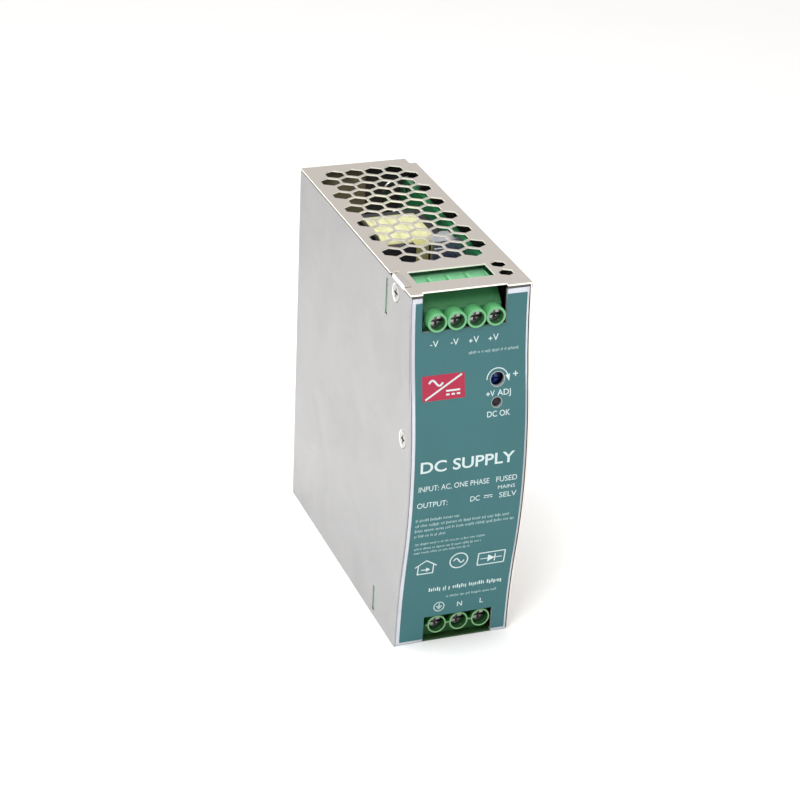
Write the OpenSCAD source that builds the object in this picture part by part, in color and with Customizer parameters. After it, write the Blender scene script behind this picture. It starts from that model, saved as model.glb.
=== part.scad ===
// DIN rail power supply, 120 W class, in a vented sheet-steel case.
// Seen from the front (looking along +Y) the width runs along X and +Z is up.
// The origin is the middle of the seat that lies on the rail: y = 0 is the
// plane of the rail's flanges, z = 0 the rail's centre line. The front faces -Y.
// Places inside the case are given as [x, depth, height]: depth is measured
// forward from the seat plane and height up from the underside of the case.

/* [Housing] */
// Width of the case across the front
body_w = 40; // [39:0.5:44]
// Height of the case
body_h = 125.2; // [125:0.1:128]
// Depth of the case at its top and bottom edges
end_d = 107.4; // [106.5:0.1:108]
// How far the middle of the front bows out past those edges
front_bow = 6.1; // [5.5:0.1:7.5]
// Height of the rail's centre line above the underside
rail_h = 66.6; // [66:0.1:67]
// Thickness of the case sheet
sheet = 0.6; // [0.5:0.1:0.8]

/* [Vents] */
// Width of a hexagonal vent across its flats
vent_flat = 6.4; // [5:0.1:6.5]
// Distance between the centres of neighbouring vents
vent_pitch = 7; // [6.8:0.1:7]
// Number of vent rows from rear to front
vent_rows = 13; // [9:1:13]

/* [Terminals] */
// Pole spacing of the output terminal
out_pitch = 6.4; // [6.35:0.01:6.45]
// Middle of the output terminal, across the front
out_x = -1.7; // [-1.8:0.05:-1.6]
// Height of the output clamp screws
out_h = 115.7; // [115.6:0.1:116]
// Pole spacing of the input terminal
in_pitch = 7.62; // [7.4:0.01:7.7]
// Middle of the input terminal, across the front
in_x = 2.4; // [2.2:0.1:2.5]
// Height of the input clamp screws
in_h = 6; // [6:0.1:6.2]
// Travel of a wire clamp from open to shut
clamp_travel = 2.4; // [1.5:0.1:2.4]

/* [Rail clip] */
// Half the height of the rail that the clip grips
rail_half = 17.5; // [17.4:0.1:17.5]
// Clear space behind the seat for the rail's flange
flange_gap = 1.9; // [1.7:0.1:2.1]
// How far the latch slides down to let go of the rail
latch_travel = 4; // [3:0.1:4]

/* [Controls] */
// Voltage trimmer, across the front
trim_x = 8.5; // [8.3:0.1:9.1]
// Voltage trimmer, height
trim_h = 94.1; // [94:0.1:94.8]
// Indicator lamp, across the front
lamp_x = 8.8; // [8.4:0.1:9.2]
// Indicator lamp, height
lamp_h = 87.4; // [87:0.1:87.6]

/* [Hidden] */
$fn = 48;
half = body_w / 2;
wall_x = half - sheet;
body_d = end_d + front_bow;

// Front wave: four arcs of one radius, each a quarter of the height
quarter = body_h / 4;
wave_r = (quarter * quarter + front_bow * front_bow / 4) / front_bow;
wave_angle = asin(quarter / wave_r);
mid_d = end_d + front_bow / 2;
label_t = 0.2;
panel_t = 1.2;
seam = 0.2;
label_x = [-18.05, 18.5];
label_h = [1.2, 122];
lip_h = 1.4;
panel_h = [seam, body_h - lip_h - 0.1];

// Openings in the front, top and bottom
out_notch_x = [-15.9, 11.9];
out_notch_h = 112.4;
in_notch_x = [-10, 14];
in_notch_h = 9.65;
lip_d = end_d - 1.4;
foot_notch_d = 101.6;
foot_d = end_d - label_t - panel_t - 0.2;
wire_window_d = [90.4, 99.4];
out_window_x = [-15, 10.9];
in_window_x = [-9.6, 14.2];
trim_hole_at = [9.1, 94.8];
trim_hole = 4.6;
lamp_hole = 3.3;
lamp_dia = 2.9;
lamp_d = 110.6;
small_vent_flat = 4.7;
small_vent_x = 14.9;
small_vent_d = [91.6, 98.1];
vent_row = vent_pitch * sin(60);
vent_start_d = 8;
corner_relief = [2.4, 4.4, 4];
rear_wall_d = 0.3;

// Where the cover is screwed on: [depth, height]
cover_screws_at = [[94.8, 120.6], [106.4, 75.8]];
cover_dish = 6.2;
head_wide = 5.4;
head_thick = sheet - 0.15;
lock_tab_d = [91.2, 101.3];
lock_tab_w = 2.4;
lock_tab_rise = 0.4;
lock_slot_d = [89, 101.6];
lock_slot_w = 2.8;
slit_d = [86.1, 87.9];
slits_h = [[110.2, 122.2], [2.2, 11.2]];

// Rail clip
steel = 1.2;
clip_t = 1.5;
clip_w = 16;
bracket_d = 3.7;
bracket_w = 33;
bracket_z = [-46, 27];
seat_half = [9, 14.6];
guide_x = [12.8, 14];
latch_x = 12.5;
latch_z = [-49, -18.1];
latch_d = [1.9, 3.4];
grip = 2.6;
nose_w = 14;
spring_x = 3.2;
spring_z = [-39, -22];
spring_d = 2.65;
spring_r = 1.6;
spring_wire = 0.5;
spring_turns = 7;
tongue_w = 12;
tongue_drop = 11;
bracket_screws_at = [[-14.6, 24], [14.6, 24], [-15, -30], [15, -30]];
clip_window_z = [-41, 22];
tongue_window_z = [-53.6, -46.6];

// Boards
board_t = 1.6;
board_x = half - 5;
board_d = [5.6, 88.5];
board_h = [4, 121];
control_h = [79, 103];
control_d = 101.4;
front_board_d = 86.2;
out_board_h = [78, 123.4];
in_board_h = [1.6, 24];
standoff_at = [[9, 117.8], [10, 9], [82.5, 10], [83, 86]];
standoff_dia = 5.5;

// Screw terminals. The stretches along one pole are measured back from the face
// of the screw's head
head_reach = [-2, 0];
screw_tip = -8.5;
cavity_reach = [-13.7, -3.1];
clamp_reach = [-13.4, -5.7];
window_reach = [-12.5, -7.7];
wire_reach = [-12.5, -9.8];
blade_reach = [-9.7, -8.8];
cavity = [2.4, 2.8];
clamp_size = [2.1, 2.5];
clamp_side = 0.6;
slot_w = 0.9;
slot_deep = [1.2, 1.5];
cross_w = 2.9;
funnel_half = 2.7;
funnel_deep = 2.6;
funnel_lead = [4.9, 2.6];
screw_dia = 2.9;
head_dia = 4.2;
contact_w = 2.6;
leg_drop = 3.9;
block_d = 88;
pin_d = 84.6;
out_poles = 4;
out_head_d = 106.8;
out_tube = 6.3;
out_bore = 4.8;
out_tube_d = 109;
out_face_d = 104.8;
out_top_h = 122.75;
out_slope = [4.65, 2.5];
in_poles = 3;
in_head_d = 105;
in_tube = 6.4;
in_bore = 5.4;
in_tube_d = 107.2;
in_face_d = 104;

// Transformer: a taped winding in a core that is open above and below
tape_x = [-10.2, 9.4];
tape_d = [30.5, 52.5];
tape_h = [94.5, 119.5];
tape_round = 4;
coil_wall = 5.5;
flange_t = 0.9;
core_x = [-13.8, 13];
core_d = [26.8, 56.2];
core_h = [96.3, 117.7];
foot_h = [98, 116];

// Capacitors: [diameter, length], with the depth and heights of each row
bulk_can = [22, 31];
bulk_cans_d = 16.4;
bulk_cans_h = [80, 56.5];
output_can = [12.5, 25];
output_cans_d = 68.8;
output_cans_h = [111.4, 97.8, 84.2];
filter_can = [8, 12];
filter_cans_d = 80.4;
filter_cans_h = [114.6, 105.4, 96.2];
can_neck = 3;
film_caps = [[17, [52, 78], [6, 16]], [15, [58, 78], [18, 25]]];
disc_cap = 9;
disc_caps_h = [57, 71];

// Line choke, output choke and the parts of the mains input
choke_x = [board_x - 22, board_x - 2];
choke_d = [60, 84];
choke_h = [34, 48];
choke_limb = 5;
coil_size = [6.6, 13.6, 16];
ring_at = [74, 65.4];
ring_x = [board_x - 12, board_x - 3];
ring_dia = [22, 12];
ring_wire = 1.2;
fuse_at = [58, 78, 29];
fuse_dia = 5.2;
surge_d = [46, 50.5];

// Heat sinks and what is clamped to them
power_sink_d = [34.5, 37];
power_sink_h = [8, 76];
power_sink_w = 26;
small_sink_d = [59.4, 61.4];
small_sink_x = 5;
small_sink_h = [76, 121];
small_sink_t = 1.5;
transistors_h = [20, 40, 60];

// ---- Helpers ----------------------------------------------------------

// Heights above the underside, of two places given from the rail's centre line
function from_rail(z) = rail_h * [1, 1] + z;

function pole_x(centre, pitch, poles, i) = centre + pitch * (i - (poles - 1) / 2);

// Box between two x, two depths and two heights
module block(x, d, h) {
    translate([x[0], -d[1], h[0] - rail_h])
        cube([x[1] - x[0], d[1] - d[0], h[1] - h[0]]);
}

// Round bar along X
module rod_across(x, d, h, dia) {
    translate([x[0], -d, h - rail_h]) rotate([0, 90, 0]) cylinder(d = dia, h = x[1] - x[0]);
}

// Round bar along the depth
module rod_deep(x, d, h, dia) {
    translate([x, -d[0], h - rail_h]) rotate([90, 0, 0]) cylinder(d = dia, h = d[1] - d[0]);
}

// Flat shape in [y, z], drawn out between two x
module across(x) {
    translate([x[0], 0, 0]) rotate([90, 0, 90]) linear_extrude(x[1] - x[0]) children();
}

// Side view of the case with its front face set back by inset
module side_outline(inset = 0) {
    front = mid_d - inset * cos(wave_angle);
    rise = quarter - inset * sin(wave_angle);
    translate([0, -rail_h]) difference() {
        union() {
            translate([-front, 0]) square([front, body_h]);
            intersection() {
                translate([wave_r - body_d, body_h / 2]) circle(wave_r - inset, $fn = 240);
                translate([-body_d, body_h / 2 - rise]) square([body_d / 2, 2 * rise]);
            }
        }
        for (h = [0, body_h])
            translate([-end_d - wave_r, h]) circle(wave_r + inset, $fn = 240);
    }
}

// A layer that follows the front, between two insets
module front_layer(x, inset, thickness, h) {
    intersection() {
        across(x) difference() {
            side_outline(inset);
            side_outline(inset + thickness);
        }
        block(x, [0, body_d + 1], h);
    }
}

// Terminal notches and control holes, cut through the front
module front_openings() {
    reach = [end_d - 10, body_d + 1];
    block(out_notch_x, reach, [out_notch_h, body_h + 1]);
    block(in_notch_x, reach, [-1, in_notch_h]);
    rod_deep(trim_hole_at[0], reach, trim_hole_at[1], trim_hole);
    rod_deep(lamp_x, reach, lamp_h, lamp_hole);
}

// Hexagon with flats facing left and right
module hexagon(flat) {
    rotate(30) circle(d = flat / cos(30), $fn = 6);
}

// Staggered hexagons of the top and bottom grilles, in [x, y]
module vent_field() {
    for (row = [0 : vent_rows - 1]) {
        count = row % 2 == 0 ? 4 : 5;
        for (i = [0 : count - 1])
            translate([vent_pitch * (i - (count - 1) / 2), -vent_start_d - row * vent_row])
                hexagon(vent_flat);
    }
}

// Flange plan shared by the top and the bottom, in [x, y]
module flange_plan(left, front_d, window_x, notch_x, notch_d) {
    difference() {
        translate([left, -front_d]) square([half - left, front_d]);
        vent_field();
        translate([window_x[0], -wire_window_d[1]])
            square([window_x[1] - window_x[0], wire_window_d[1] - wire_window_d[0]]);
        translate([notch_x[0], -end_d - 1])
            square([notch_x[1] - notch_x[0], end_d + 1 - notch_d]);
    }
}

// Countersunk screw along X, head at the outer face x, pointing inward by way
module countersunk(x, way, d, h, length) {
    translate([x, -d, h - rail_h]) rotate([0, way * 90, 0]) difference() {
        union() {
            cylinder(d1 = head_wide, d2 = 3, h = head_thick);
            cylinder(d = 3, h = length);
        }
        for (turn = [0, 90])
            rotate(turn) translate([-1.5, -0.35, -0.1]) cube([3, 0.7, 0.9]);
    }
}

// ---- Case -------------------------------------------------------------

module chassis() color("lightgray") difference() {
    union() {
        across([wall_x, half]) side_outline();
        translate([0, 0, body_h - sheet - rail_h]) linear_extrude(sheet)
            difference() {
                flange_plan(seam / 2 - half, end_d, out_window_x, out_notch_x, lip_d);
                for (d = small_vent_d)
                    translate([small_vent_x, -d]) hexagon(small_vent_flat);
                translate([-half - 1, -lock_slot_d[1]])
                    square([1 + lock_slot_w, lock_slot_d[1] - lock_slot_d[0]]);
            }
        translate([0, 0, -rail_h]) linear_extrude(sheet)
            flange_plan(seam - wall_x, foot_d, in_window_x, in_notch_x, foot_notch_d);
        block([seam - wall_x, wall_x], [rear_wall_d, rear_wall_d + sheet], [0, body_h]);
        // Hem along the front edge of the top, on both sides of the terminal
        for (x = [[seam / 2 - wall_x, out_notch_x[0]], [out_notch_x[1], wall_x + 0.1]])
            block(x, [end_d - sheet, end_d], [body_h - lip_h, body_h - sheet / 2]);
        cover_lug();
    }
    // Bend relief at the top rear corner
    block([half - corner_relief[0], half + 1], [-1, corner_relief[1]],
        [body_h - corner_relief[2], body_h + 1]);
    block([-seat_half[0] - 0.3, seat_half[0] + 0.3], [-1, 3], from_rail(clip_window_z));
    block([-7.5, 7.5], [-1, 3], from_rail(tongue_window_z));
    for (at = bracket_screws_at) bracket_screw_hole(at);
    for (at = standoff_at) translate([half, -at[0], at[1] - rail_h]) rotate([0, -90, 0]) {
        cylinder(d1 = 6, d2 = 3.2, h = sheet);
        cylinder(d = 3.2, h = 3);
    }
    cover_screw_bore(cover_screws_at[0]);
}

// Lug below the top flange that takes the upper cover screw
module cover_lug() {
    at = cover_screws_at[0];
    block([0.1 - wall_x, lock_slot_w + 0.8 - half], [at[0] - 4.5, at[0] + 4.5],
        [at[1] - 4.2, body_h - sheet + 0.1]);
}

module cover_screw_bore(at) rod_across([-half - 1, -half + 6], at[0], at[1], 3);

module left_cover() color("silver") difference() {
    union() {
        intersection() {
            across([-half, -wall_x]) side_outline();
            block([-half, half], [0, body_d + 1], [0, body_h - sheet - seam]);
        }
        // Tab that rises past the top flange and folds over into its slot
        block([-half, -wall_x], lock_tab_d, [body_h - 2 * sheet - seam, body_h]);
        block([-half, lock_tab_w - half], lock_tab_d,
            [body_h + lock_tab_rise - sheet, body_h + lock_tab_rise]);
    }
    for (h = slits_h) block([-half - 1, -wall_x + 1], slit_d, h);
    for (at = cover_screws_at) translate([-half, -at[0], at[1] - rail_h]) rotate([0, 90, 0]) {
        cylinder(d1 = cover_dish, d2 = 3.2, h = sheet + 0.3);
        cylinder(d = 3.2, h = 3);
    }
}

module cover_screws() color("silver")
    for (at = cover_screws_at) countersunk(0.1 - half, 1, at[0], at[1], 4);

module front_panel() color("gainsboro") difference() {
    union() {
        front_layer([seam / 2 - wall_x, wall_x - seam / 2], label_t, panel_t, panel_h);
        // Ears bent rearward: the left one takes the cover screw
        front_ear([0.1 - wall_x, 1.9 - wall_x], cover_screws_at[1][1]);
        front_ear([wall_x - 1.9, wall_x - 0.1], cover_screws_at[1][1]);
    }
    front_openings();
    cover_screw_bore(cover_screws_at[1]);
}

module front_ear(x, h) intersection() {
    across(x) side_outline(label_t + 0.2);
    block(x, [end_d - 6, body_d], [h - 8, h + 8]);
}

module front_label() color("cadetblue") difference() {
    front_layer(label_x, 0, label_t, label_h);
    front_openings();
}

// ---- Rail clip --------------------------------------------------------

module bracket_screw_hole(at) {
    translate([at[0], -rear_wall_d, at[1]]) rotate([90, 0, 0]) cylinder(d1 = 6, d2 = 3.2, h = sheet);
    translate([at[0], 0, at[1]]) rotate([90, 0, 0]) cylinder(d = 3.2, h = 3);
}

// Hook section in [y, z]: an arm over the flange's edge and a lip behind it
module hook_section(arm_y, tip_z) {
    translate([arm_y, rail_half + 0.4]) square([flange_gap + clip_t - arm_y, clip_t]);
    translate([flange_gap, tip_z + clip_t / 2])
        square([clip_t, rail_half + 0.4 + clip_t - tip_z - clip_t / 2]);
    translate([flange_gap + clip_t / 2, tip_z + clip_t / 2]) circle(d = clip_t);
}

module rail_bracket() color("darkgray") difference() {
    union() {
        block([-bracket_w / 2, bracket_w / 2], [bracket_d, bracket_d + steel],
            from_rail(bracket_z));
        for (side = [-1, 1]) {
            flange_x = side > 0 ? guide_x : -[guide_x[1], guide_x[0]];
            block(flange_x, [rear_wall_d + sheet, bracket_d], from_rail([bracket_z[0], -19]));
        }
        // Spacers that carry the plate on the rear wall
        for (at = bracket_screws_at)
            rod_deep(at[0], [rear_wall_d + sheet, bracket_d], at[1] + rail_h, 3.6 + sheet);
        // Seat that lies on the rail
        block([-seat_half[0], seat_half[0]], [0, bracket_d],
            from_rail([-seat_half[1], seat_half[1]]));
        across([-clip_w / 2, clip_w / 2]) hook_section(-bracket_d, rail_half - grip);
        // Rest for the fixed end of the spring
        block([-2.4, 2.4], [1.6, bracket_d], from_rail([spring_z[0] - clip_t, spring_z[0]]));
    }
    block([-2.5, 2.5], [bracket_d - 0.1, bracket_d + 2],
        from_rail([spring_z[0], spring_z[1] + 1]));
    for (at = bracket_screws_at)
        rod_deep(at[0], [0, bracket_d + 2], at[1] + rail_h, 2.9);
}

module bracket_screws() color("silver")
    for (at = bracket_screws_at) translate([at[0], -rear_wall_d - 0.1, at[1]]) rotate([90, 0, 0])
        difference() {
            union() {
                cylinder(d1 = head_wide, d2 = 2.9, h = head_thick);
                cylinder(d = 2.9, h = 4.5);
            }
            for (turn = [0, 90])
                rotate(turn) translate([-1.5, -0.35, -0.1]) cube([3, 0.7, 0.9]);
        }

// Nose section of the latch in [y, z], with a sloped back that snaps over the flange
module nose_section() {
    top = grip - rail_half;
    back = flange_gap + clip_t;
    polygon([
        [-latch_d[1], latch_z[1] - clip_t], [back, latch_z[1] - clip_t], [back, top - 1.8],
        [flange_gap, top], [flange_gap, latch_z[1]], [-latch_d[1], latch_z[1]],
    ]);
}

module rail_latch() color("dimgray") difference() {
    union() {
        block([-latch_x, latch_x], latch_d, from_rail(latch_z));
        across([-nose_w / 2, nose_w / 2]) nose_section();
        // Tongue for a screwdriver, outside the rear wall
        block([-tongue_w / 2, tongue_w / 2], [-2.5, latch_d[1]],
            from_rail([latch_z[0], latch_z[0] + clip_t]));
        block([-tongue_w / 2, tongue_w / 2], [-2.5, -2.5 + clip_t],
            from_rail([latch_z[0] - tongue_drop, latch_z[0] + clip_t]));
    }
    block([-spring_x, spring_x], [0, 5], from_rail([spring_z[0] - clip_t - 0.3, spring_z[1]]));
    block([-3, 3], [-4, 0], from_rail(latch_z[0] * [1, 1] + [-8, -5.5]));
}

// Round wire along a helix, one ring of sides for each step
module latch_spring() color("silver") {
    steps = 18;
    sides = 6;
    rings = steps * spring_turns;
    rise = spring_z[1] - spring_z[0] - spring_wire;
    points = [for (i = [0 : rings]) for (s = [0 : sides - 1])
        let (turn = 360 * i / steps, around = 360 * s / sides,
             r = spring_r + spring_wire / 2 * cos(around))
        [r * cos(turn), r * sin(turn), rise * i / rings + spring_wire / 2 * sin(around)]];
    skin = [for (i = [0 : rings - 1]) for (s = [0 : sides - 1])
        let (a = i * sides + s, b = i * sides + (s + 1) % sides)
        [a, a + sides, b + sides, b]];
    ends = [[for (s = [0 : sides - 1]) s], [for (s = [sides - 1 : -1 : 0]) rings * sides + s]];
    translate([0, -spring_d, spring_z[0] + spring_wire / 2])
        polyhedron(points, concat(skin, ends), convexity = 10);
}

// ---- Boards -----------------------------------------------------------

module main_board() color("darkgreen") difference() {
    union() {
        block([board_x, board_x + board_t], board_d, board_h);
        block([board_x, board_x + board_t], [board_d[1] - 1, control_d + board_t], control_h);
    }
    for (at = standoff_at) rod_across([board_x - 1, half], at[0], at[1], 3.2);
}

// Upright board behind a terminal, with a tongue in the slit of the cover
module front_board(h, slit, pole_h, leg_side, centre, pitch, poles) difference() {
    union() {
        block([0.3 - wall_x, board_x], [front_board_d, front_board_d + board_t], h);
        block([0.2 - half, 0], [front_board_d, front_board_d + board_t], [slit[0] + 0.3, slit[1] - 0.3]);
    }
    for (i = [0 : poles - 1]) {
        x = pole_x(centre, pitch, poles, i);
        leg = pole_h - leg_side * leg_drop;
        block([x - 1.4, x + 1.4], [front_board_d - 1, block_d], [leg - 0.5, leg + 0.5]);
    }
}

module output_board() color("green")
    front_board(out_board_h, slits_h[0], out_h, 1, out_x, out_pitch, out_poles);

module input_board() color("green")
    front_board(in_board_h, slits_h[1], in_h, -1, in_x, in_pitch, in_poles);

module control_board() color("green")
    block([1.5, board_x], [control_d, control_d + board_t], control_h + [1, -2]);

module standoffs() color("silver")
    for (at = standoff_at) difference() {
        rod_across([board_x + board_t, wall_x], at[0], at[1], standoff_dia);
        rod_across([board_x, half], at[0], at[1], 3);
    }

module board_screws() color("silver")
    for (at = standoff_at) countersunk(half - 0.1, -1, at[0], at[1], 4.8);

module insulation_sheet() color("whitesmoke") difference() {
    block([wall_x - 1, wall_x - 0.7], [3, board_d[1]], [3, body_h - 3]);
    for (at = standoff_at) rod_across([board_x, half], at[0], at[1], standoff_dia + 0.4);
}

// ---- Screw terminals --------------------------------------------------

// Everything that is hollow in one pole; wires come from the side that up gives
module pole_hollow(x, h, up, head_d, face_h, mouth_d, bore) {
    wire = [head_d, head_d] + wire_reach;
    blade = [head_d, head_d] + blade_reach + [-0.1, 0.1];
    leg = h - up * leg_drop;
    lead = min(funnel_lead[0], wire[0] - block_d - 1);
    block([x - cavity[0], x + cavity[0]], head_d * [1, 1] + cavity_reach, [h - cavity[1], h + cavity[1]]);
    rod_deep(x, head_d * [1, 1] + [cavity_reach[1] - 0.5, head_reach[0]], h, screw_dia + 0.5);
    rod_deep(x, [head_d + head_reach[0] - 0.1, mouth_d + 1], h, bore);
    // Wire way with a funnel mouth
    translate([x, 0, h - rail_h]) scale([1, 1, up]) {
        translate([-1.6, -wire[1], 0]) cube([3.2, wire[1] - wire[0], face_h + 1]);
        across([-funnel_half, funnel_half]) polygon([
            [-wire[0], face_h - funnel_deep], [-wire[1], face_h - funnel_deep],
            [-wire[1] - funnel_lead[1], face_h + 0.1], [lead - wire[0], face_h + 0.1],
        ]);
    }
    block([x - 1.4, x + 1.4], blade, [min(leg, h), max(leg, h)]);
    block([x - 1.4, x + 1.4], [block_d - 1, blade[1]], [leg - 0.5, leg + 0.5]);
}

module output_terminal() color("mediumseagreen") difference() {
    union() {
        width = out_pitch * out_poles;
        across([out_x - width / 2, out_x + width / 2]) translate([0, -rail_h]) polygon([
            [-block_d, out_h - 5.2], [-block_d, out_top_h],
            [-out_face_d + out_slope[0], out_top_h], [-out_face_d, out_h + out_slope[1]],
            [-out_face_d, out_h - 5.2],
        ]);
        for (i = [0 : out_poles - 1])
            rod_deep(pole_x(out_x, out_pitch, out_poles, i), [out_face_d - 1, out_tube_d], out_h, out_tube);
    }
    for (i = [0 : out_poles - 1])
        pole_hollow(pole_x(out_x, out_pitch, out_poles, i), out_h, 1, out_head_d,
            out_top_h - out_h, out_tube_d, out_bore);
}

module input_terminal() color("seagreen") difference() {
    foot = sheet + 0.3;
    first = pole_x(in_x, in_pitch, in_poles, 0);
    last = pole_x(in_x, in_pitch, in_poles, in_poles - 1);
    union() {
        block([first - in_pitch / 2, last + in_pitch / 2], [block_d, in_face_d], [foot, in_h + 6.2]);
        // Skirt that closes the notch in front of the bottom flange
        block([first - in_pitch / 2, last + in_pitch / 2], [foot_notch_d + 0.2, in_face_d],
            [0.1, foot + 0.1]);
        for (i = [0 : in_poles - 1])
            rod_deep(pole_x(in_x, in_pitch, in_poles, i), [in_face_d - 1, in_tube_d], in_h, in_tube);
        // Rib that joins the collars
        block([first - in_pitch / 2, last], [in_face_d - 1, in_tube_d - 0.3], [in_h - 0.25, in_h + 0.25]);
    }
    for (i = [0 : in_poles - 1])
        pole_hollow(pole_x(in_x, in_pitch, in_poles, i), in_h, -1, in_head_d, in_h - foot,
            in_tube_d, in_bore);
}

// Contact strips: one blade in each clamp and a leg back through the board
module contacts(centre, pitch, poles, h, up, head_d) color("goldenrod")
    for (i = [0 : poles - 1]) {
        x = pole_x(centre, pitch, poles, i);
        wide = [x - contact_w / 2, x + contact_w / 2];
        blade = head_d * [1, 1] + blade_reach;
        leg = h - up * leg_drop;
        tip = h + up * 2.2;
        block(wide, blade, [min(leg, tip) - 0.4, max(leg, tip) + 0.4]);
        block(wide, [pin_d, blade[1]], [leg - 0.4, leg + 0.4]);
    }

module output_contacts() contacts(out_x, out_pitch, out_poles, out_h, 1, out_head_d);

module input_contacts() contacts(in_x, in_pitch, in_poles, in_h, -1, in_head_d);

module clamp_screw(x, h, head_d) color("silver") difference() {
    union() {
        rod_deep(x, head_d * [1, 1] + head_reach, h, head_dia);
        rod_deep(x, head_d * [1, 1] + [screw_tip, head_reach[0] + 0.1], h, screw_dia);
    }
    block([x - head_dia, x + head_dia], [head_d - slot_deep[0], head_d + 1],
        [h - slot_w / 2, h + slot_w / 2]);
    block([x - slot_w / 2, x + slot_w / 2], [head_d - slot_deep[1], head_d + 1],
        [h - cross_w / 2, h + cross_w / 2]);
}

module output_screw(i) clamp_screw(pole_x(out_x, out_pitch, out_poles, i), out_h, out_head_d);

module input_screw(i) clamp_screw(pole_x(in_x, in_pitch, in_poles, i), in_h, in_head_d);

// Cage with the screw's thread in its front wall, open up and down for the wire
module wire_clamp(x, h, head_d) color("lightsteelblue") difference() {
    inner = clamp_size[0] - clamp_side;
    block([x - clamp_size[0], x + clamp_size[0]], head_d * [1, 1] + clamp_reach,
        [h - clamp_size[1], h + clamp_size[1]]);
    block([x - inner, x + inner], head_d * [1, 1] + window_reach, [h - 4, h + 4]);
    rod_deep(x, head_d * [1, 1] + [window_reach[1] - 0.5, clamp_reach[1] + 1], h, screw_dia + 0.1);
}

module output_clamp(i) wire_clamp(pole_x(out_x, out_pitch, out_poles, i), out_h, out_head_d);

module input_clamp(i) wire_clamp(pole_x(in_x, in_pitch, in_poles, i), in_h, in_head_d);

// ---- Trimmer and lamp -------------------------------------------------

module trimmer_body() color("royalblue") difference() {
    block([trim_x - 3.2, trim_x + 3.2], [control_d + board_t, control_d + 6], [trim_h - 3.4, trim_h + 3.4]);
    rod_deep(trim_x, [control_d + 4.4, control_d + 7], trim_h, 3.6);
}

module trimmer_rotor() color("white") difference() {
    rod_deep(trim_x, [control_d + 4.5, control_d + 6.6], trim_h, 3.4);
    block([trim_x - 2, trim_x + 2], [control_d + 5.7, control_d + 7], [trim_h - 0.35, trim_h + 0.35]);
    block([trim_x - 0.35, trim_x + 0.35], [control_d + 5.7, control_d + 7], [trim_h - 1.2, trim_h + 1.2]);
}

// Lamp with a domed lens on a flange
module indicator_lamp() color("palegreen") {
    foot = control_d + board_t;
    rod_deep(lamp_x, [foot, foot + 1], lamp_h, lamp_dia + 0.7);
    rod_deep(lamp_x, [foot + 0.5, lamp_d], lamp_h, lamp_dia);
    translate([lamp_x, -lamp_d, lamp_h - rail_h]) scale([1, 0.3, 1]) sphere(d = lamp_dia);
}

// ---- Power parts ------------------------------------------------------

module transformer_core() color("dimgray") difference() {
    block(core_x, core_d, core_h);
    block(tape_x + [-0.2, 0.2], tape_d + [-0.2, 0.2], core_h + [-1, 1]);
}

// Section of the winding in [y, z] with rounded corners, shrunk by inset
module coil_section(inset) {
    d = tape_d + inset * [1, -1];
    h = tape_h + inset * [1, -1] - rail_h * [1, 1];
    translate([-d[1], h[0] + tape_round]) square([d[1] - d[0], h[1] - h[0] - 2 * tape_round]);
    translate([tape_round - d[1], h[0]]) square([d[1] - d[0] - 2 * tape_round, h[1] - h[0]]);
    for (y = [tape_round - d[1], -d[0] - tape_round])
        for (z = [h[0] + tape_round, h[1] - tape_round])
            translate([y, z]) circle(tape_round);
}

// Taped winding around the bobbin's tube, lying along X
module transformer_coil() color("khaki") difference() {
    across(tape_x + flange_t * [1, -1]) coil_section(0);
    bobbin_tube();
}

module bobbin_tube()
    block(tape_x, tape_d + coil_wall * [1, -1], tape_h + coil_wall * [1, -1]);

module transformer_bobbin() color("black") {
    bobbin_tube();
    for (x = [[tape_x[0], tape_x[0] + flange_t], [tape_x[1] - flange_t, tape_x[1]]])
        across(x) coil_section(0.6);
    // Foot that carries the pins
    block([core_x[1], board_x], tape_d + [-0.5, 0.5], foot_h);
}

// Round can on the board, with a rolled groove near its foot
module can(d, h, size) {
    groove = board_x - can_neck;
    rod_across([board_x - size[1], groove - 0.8], d, h, size[0]);
    rod_across([groove - 0.8, groove + 0.8], d, h, size[0] - 1.4);
    rod_across([groove + 0.8, board_x], d, h, size[0]);
}

module bulk_capacitors() color("darkslategray")
    for (h = bulk_cans_h) can(bulk_cans_d, h, bulk_can);

module output_capacitors() color("midnightblue")
    for (h = output_cans_h) can(output_cans_d, h, output_can);

module filter_capacitors() color("darkslateblue")
    for (h = filter_cans_h) can(filter_cans_d, h, filter_can);

module choke_core() color("dimgray") difference() {
    block(choke_x, choke_d, choke_h);
    block(choke_x + choke_limb * [1, -1], choke_d + choke_limb * [1, -1], choke_h + [-1, 1]);
}

// Two windings, one on each long limb of the core
module choke_coils() color("peru")
    for (x = choke_x + choke_limb / 2 * [1, -1]) difference() {
        block([x - coil_size[0] / 2, x + coil_size[0] / 2],
            (choke_d[0] + choke_d[1]) / 2 * [1, 1] + coil_size[1] / 2 * [-1, 1],
            (choke_h[0] + choke_h[1]) / 2 * [1, 1] + coil_size[2] / 2 * [-1, 1]);
        block([x - choke_limb / 2, x + choke_limb / 2], choke_d, choke_h);
    }

module rod_ring(x, outer, inner) difference() {
    rod_across(x, ring_at[0], ring_at[1], outer);
    rod_across(x + [-1, 1], ring_at[0], ring_at[1], inner);
}

module inductor_core() color("gold")
    rod_ring(ring_x, ring_dia[0], ring_dia[1]);

// Winding that wraps the ring core on all sides
module inductor_winding() color("chocolate") difference() {
    rod_ring(ring_x + ring_wire * [-1, 1], ring_dia[0] + 2 * ring_wire, ring_dia[1] - 2 * ring_wire);
    rod_ring(ring_x, ring_dia[0], ring_dia[1]);
}

module film_capacitors() color("gold")
    for (cap = film_caps) block([board_x - cap[0], board_x], cap[1], cap[2]);

module disc_capacitors() color("steelblue")
    for (h = disc_caps_h) rod_deep(board_x - 6, [50, 53.5], h, disc_cap);

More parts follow.
